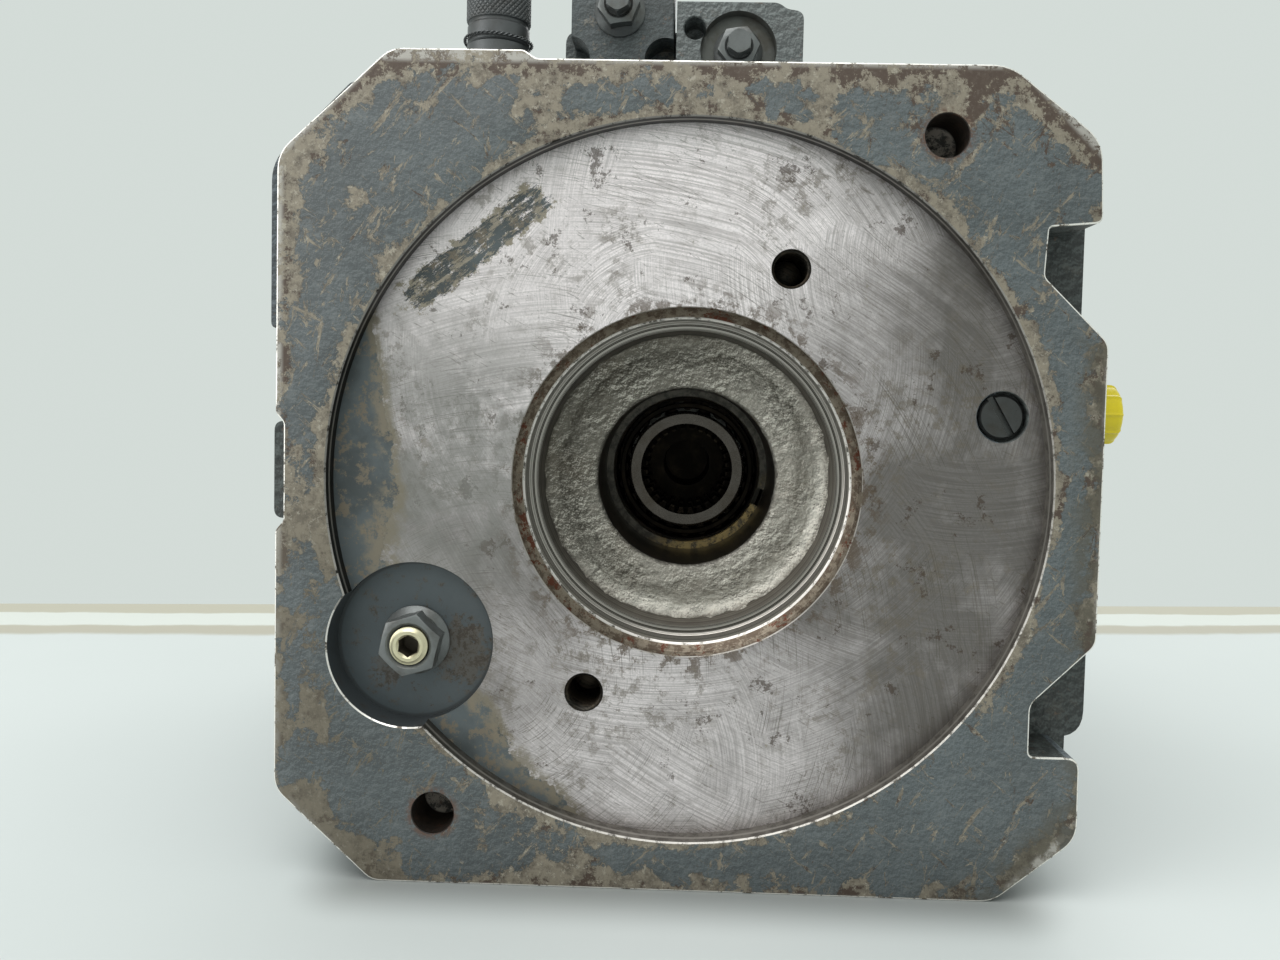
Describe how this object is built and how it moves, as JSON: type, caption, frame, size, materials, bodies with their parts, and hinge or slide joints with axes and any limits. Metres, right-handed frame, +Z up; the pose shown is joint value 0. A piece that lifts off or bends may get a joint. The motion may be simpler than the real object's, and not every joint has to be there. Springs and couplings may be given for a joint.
{
  "type": "hydraulic motor",
  "caption": "Variable swash-plate axial-piston hydraulic motor: square cast housing, round through-drive pad recess, control block on top, splined shaft at the far end.",
  "frame": {"origin": "bottom centre of the whole object's box, on the surface it stands on", "axes": "+X to the right seen from the rear pad, +Y from the rear pad along the shaft to the splined shaft end, +Z up"},
  "size_m": [0.2714, 0.365, 0.3152],
  "materials": {
    "worn_blue_grey_paint": "worn matte blue-grey paint over cast iron, primer and rust along the edges",
    "grey_cast_paint": "matte grey paint over rough casting",
    "gasket_fibre": "dull fibre gasket",
    "bearing_bronze": "satin",
    "ground_steel": "machined, lightly oiled",
    "dark_steel": "dark oxide, satin",
    "zinc_yellow_steel": "zinc yellow, satin",
    "seal_rubber": "matte black",
    "yellow_plastic": "semi-gloss yellow"
  },
  "bodies": {
    "housing": {"rear_port_housing": "worn_blue_grey_paint", "main_housing": "worn_blue_grey_paint", "control_housing": "grey_cast_paint", "valve_body": "grey_cast_paint", "housing_gasket": "gasket_fibre", "valve_plate": "bearing_bronze", "cradle_bearing_left": "bearing_bronze", "cradle_bearing_right": "bearing_bronze", "front_bearing_cup": "ground_steel", "rear_bearing_ring": "ground_steel", "cap_fitting": "ground_steel", "rear_snap_ring": "dark_steel", "seal_snap_ring": "dark_steel", "stop_screw_nut": "dark_steel", "slotted_plug": "dark_steel", "left_adjusting_screw": "dark_steel", "right_adjusting_screw": "dark_steel", "left_lock_nut": "dark_steel", "right_lock_nut": "dark_steel", "knurled_cap": "dark_steel", "seal_wire": "dark_steel", "gauge_port_plug": "dark_steel", "drain_port_plug": "dark_steel", "housing_bolt_1": "dark_steel", "housing_bolt_2": "dark_steel", "housing_bolt_3": "dark_steel", "housing_bolt_4": "dark_steel", "stop_screw": "zinc_yellow_steel", "shaft_seal": "seal_rubber", "yellow_port_cap": "yellow_plastic"},
    "rotating_group": {"drive_shaft": "ground_steel", "cylinder_block": "ground_steel", "retainer_ball": "ground_steel", "block_spring": "dark_steel", "front_bearing_cone": "ground_steel"},
    "front_roller_cage": {"front_bearing_rollers": "ground_steel"},
    "rear_needle_cage": {"rear_bearing_needles": "ground_steel"},
    "swashplate": {"swashplate": "ground_steel"},
    "slipper_retainer": {"slipper_retainer": "dark_steel"},
    "servo_piston": {"servo_piston": "ground_steel"},
    "control_spool": {"control_spool": "ground_steel"},
    "slipper_1": {"slipper_1": "bearing_bronze"},
    "piston_1": {"piston_1": "ground_steel"},
    "slipper_2": {"slipper_2": "bearing_bronze"},
    "piston_2": {"piston_2": "ground_steel"},
    "slipper_3": {"slipper_3": "bearing_bronze"},
    "piston_3": {"piston_3": "ground_steel"},
    "slipper_4": {"slipper_4": "bearing_bronze"},
    "piston_4": {"piston_4": "ground_steel"},
    "slipper_5": {"slipper_5": "bearing_bronze"},
    "piston_5": {"piston_5": "ground_steel"},
    "slipper_6": {"slipper_6": "bearing_bronze"},
    "piston_6": {"piston_6": "ground_steel"},
    "slipper_7": {"slipper_7": "bearing_bronze"},
    "piston_7": {"piston_7": "ground_steel"},
    "slipper_8": {"slipper_8": "bearing_bronze"},
    "piston_8": {"piston_8": "ground_steel"},
    "slipper_9": {"slipper_9": "bearing_bronze"},
    "piston_9": {"piston_9": "ground_steel"}
  },
  "joints": [
    {"name": "shaft_spin", "type": "hinge", "parent": "housing", "child": "rotating_group", "pos_m": [-0.0057, 0.0025, 0.1252], "axis": [0, 1, 0], "continuous": true},
    {"name": "swash_tilt", "type": "hinge", "parent": "housing", "child": "swashplate", "pos_m": [-0.0057, 0.0025, 0.1252], "axis": [1, 0, 0], "range_deg": [-15, 15], "stiffness_Nm_per_rad": 60},
    {"name": "front_cage_spin", "type": "hinge", "parent": "housing", "child": "front_roller_cage", "pos_m": [-0.0057, 0.0895, 0.1252], "axis": [0, 1, 0], "continuous": true},
    {"name": "rear_cage_spin", "type": "hinge", "parent": "housing", "child": "rear_needle_cage", "pos_m": [-0.0057, -0.1035, 0.1252], "axis": [0, 1, 0], "continuous": true},
    {"name": "retainer_spin", "type": "hinge", "parent": "swashplate", "child": "slipper_retainer", "pos_m": [-0.0057, 0.0025, 0.1252], "axis": [0, 1, 0], "continuous": true},
    {"name": "slipper_1_turn", "type": "hinge", "parent": "slipper_retainer", "child": "slipper_1", "pos_m": [0.04517, 0.0025, 0.1252], "axis": [0, 1, 0], "continuous": true},
    {"name": "piston_1_ball", "type": "hinge", "parent": "slipper_1", "child": "piston_1", "pos_m": [0.04517, 0.0025, 0.1252], "axis": [1, 0, 0], "range_deg": [-15.2, 15.2]},
    {"name": "slipper_2_turn", "type": "hinge", "parent": "slipper_retainer", "child": "slipper_2", "pos_m": [0.03327, 0.0025, 0.1579], "axis": [0, 1, 0], "continuous": true},
    {"name": "piston_2_ball", "type": "hinge", "parent": "slipper_2", "child": "piston_2", "pos_m": [0.03327, 0.0025, 0.1579], "axis": [1, 0, 0], "range_deg": [-15.2, 15.2]},
    {"name": "slipper_3_turn", "type": "hinge", "parent": "slipper_retainer", "child": "slipper_3", "pos_m": [0.00313, 0.0025, 0.17529], "axis": [0, 1, 0], "continuous": true},
    {"name": "piston_3_ball", "type": "hinge", "parent": "slipper_3", "child": "piston_3", "pos_m": [0.00313, 0.0025, 0.17529], "axis": [1, 0, 0], "range_deg": [-15.2, 15.2]},
    {"name": "slipper_4_turn", "type": "hinge", "parent": "slipper_retainer", "child": "slipper_4", "pos_m": [-0.03113, 0.0025, 0.16925], "axis": [0, 1, 0], "continuous": true},
    {"name": "piston_4_ball", "type": "hinge", "parent": "slipper_4", "child": "piston_4", "pos_m": [-0.03113, 0.0025, 0.16925], "axis": [1, 0, 0], "range_deg": [-15.2, 15.2]},
    {"name": "slipper_5_turn", "type": "hinge", "parent": "slipper_retainer", "child": "slipper_5", "pos_m": [-0.0535, 0.0025, 0.1426], "axis": [0, 1, 0], "continuous": true},
    {"name": "piston_5_ball", "type": "hinge", "parent": "slipper_5", "child": "piston_5", "pos_m": [-0.0535, 0.0025, 0.1426], "axis": [1, 0, 0], "range_deg": [-15.2, 15.2]},
    {"name": "slipper_6_turn", "type": "hinge", "parent": "slipper_retainer", "child": "slipper_6", "pos_m": [-0.0535, 0.0025, 0.1078], "axis": [0, 1, 0], "continuous": true},
    {"name": "piston_6_ball", "type": "hinge", "parent": "slipper_6", "child": "piston_6", "pos_m": [-0.0535, 0.0025, 0.1078], "axis": [1, 0, 0], "range_deg": [-15.2, 15.2]},
    {"name": "slipper_7_turn", "type": "hinge", "parent": "slipper_retainer", "child": "slipper_7", "pos_m": [-0.03113, 0.0025, 0.08115], "axis": [0, 1, 0], "continuous": true},
    {"name": "piston_7_ball", "type": "hinge", "parent": "slipper_7", "child": "piston_7", "pos_m": [-0.03113, 0.0025, 0.08115], "axis": [1, 0, 0], "range_deg": [-15.2, 15.2]},
    {"name": "slipper_8_turn", "type": "hinge", "parent": "slipper_retainer", "child": "slipper_8", "pos_m": [0.00313, 0.0025, 0.07511], "axis": [0, 1, 0], "continuous": true},
    {"name": "piston_8_ball", "type": "hinge", "parent": "slipper_8", "child": "piston_8", "pos_m": [0.00313, 0.0025, 0.07511], "axis": [1, 0, 0], "range_deg": [-15.2, 15.2]},
    {"name": "slipper_9_turn", "type": "hinge", "parent": "slipper_retainer", "child": "slipper_9", "pos_m": [0.03327, 0.0025, 0.0925], "axis": [0, 1, 0], "continuous": true},
    {"name": "piston_9_ball", "type": "hinge", "parent": "slipper_9", "child": "piston_9", "pos_m": [0.03327, 0.0025, 0.0925], "axis": [1, 0, 0], "range_deg": [-15.2, 15.2]},
    {"name": "servo_slide", "type": "slide", "parent": "housing", "child": "servo_piston", "axis": [0, 1, 0], "range_m": [-0.0136, 0.0136]},
    {"name": "spool_slide", "type": "slide", "parent": "housing", "child": "control_spool", "axis": [0, 1, 0], "range_m": [-0.003, 0.003], "stiffness_N_per_m": 400}
  ],
  "couplings": [
    {"joint": "front_cage_spin", "follows": "shaft_spin", "ratio": 0.44},
    {"joint": "rear_cage_spin", "follows": "shaft_spin", "ratio": 0.45},
    {"joint": "retainer_spin", "follows": "shaft_spin", "ratio": 1},
    {"joint": "slipper_1_turn", "follows": "shaft_spin", "ratio": -1},
    {"joint": "piston_1_ball", "follows": "swash_tilt", "ratio": -1},
    {"joint": "slipper_2_turn", "follows": "shaft_spin", "ratio": -1},
    {"joint": "piston_2_ball", "follows": "swash_tilt", "ratio": -1},
    {"joint": "slipper_3_turn", "follows": "shaft_spin", "ratio": -1},
    {"joint": "piston_3_ball", "follows": "swash_tilt", "ratio": -1},
    {"joint": "slipper_4_turn", "follows": "shaft_spin", "ratio": -1},
    {"joint": "piston_4_ball", "follows": "swash_tilt", "ratio": -1},
    {"joint": "slipper_5_turn", "follows": "shaft_spin", "ratio": -1},
    {"joint": "piston_5_ball", "follows": "swash_tilt", "ratio": -1},
    {"joint": "slipper_6_turn", "follows": "shaft_spin", "ratio": -1},
    {"joint": "piston_6_ball", "follows": "swash_tilt", "ratio": -1},
    {"joint": "slipper_7_turn", "follows": "shaft_spin", "ratio": -1},
    {"joint": "piston_7_ball", "follows": "swash_tilt", "ratio": -1},
    {"joint": "slipper_8_turn", "follows": "shaft_spin", "ratio": -1},
    {"joint": "piston_8_ball", "follows": "swash_tilt", "ratio": -1},
    {"joint": "slipper_9_turn", "follows": "shaft_spin", "ratio": -1},
    {"joint": "piston_9_ball", "follows": "swash_tilt", "ratio": -1},
    {"joint": "servo_slide", "follows": "swash_tilt", "m_per_rad": 0.0512}
  ]
}
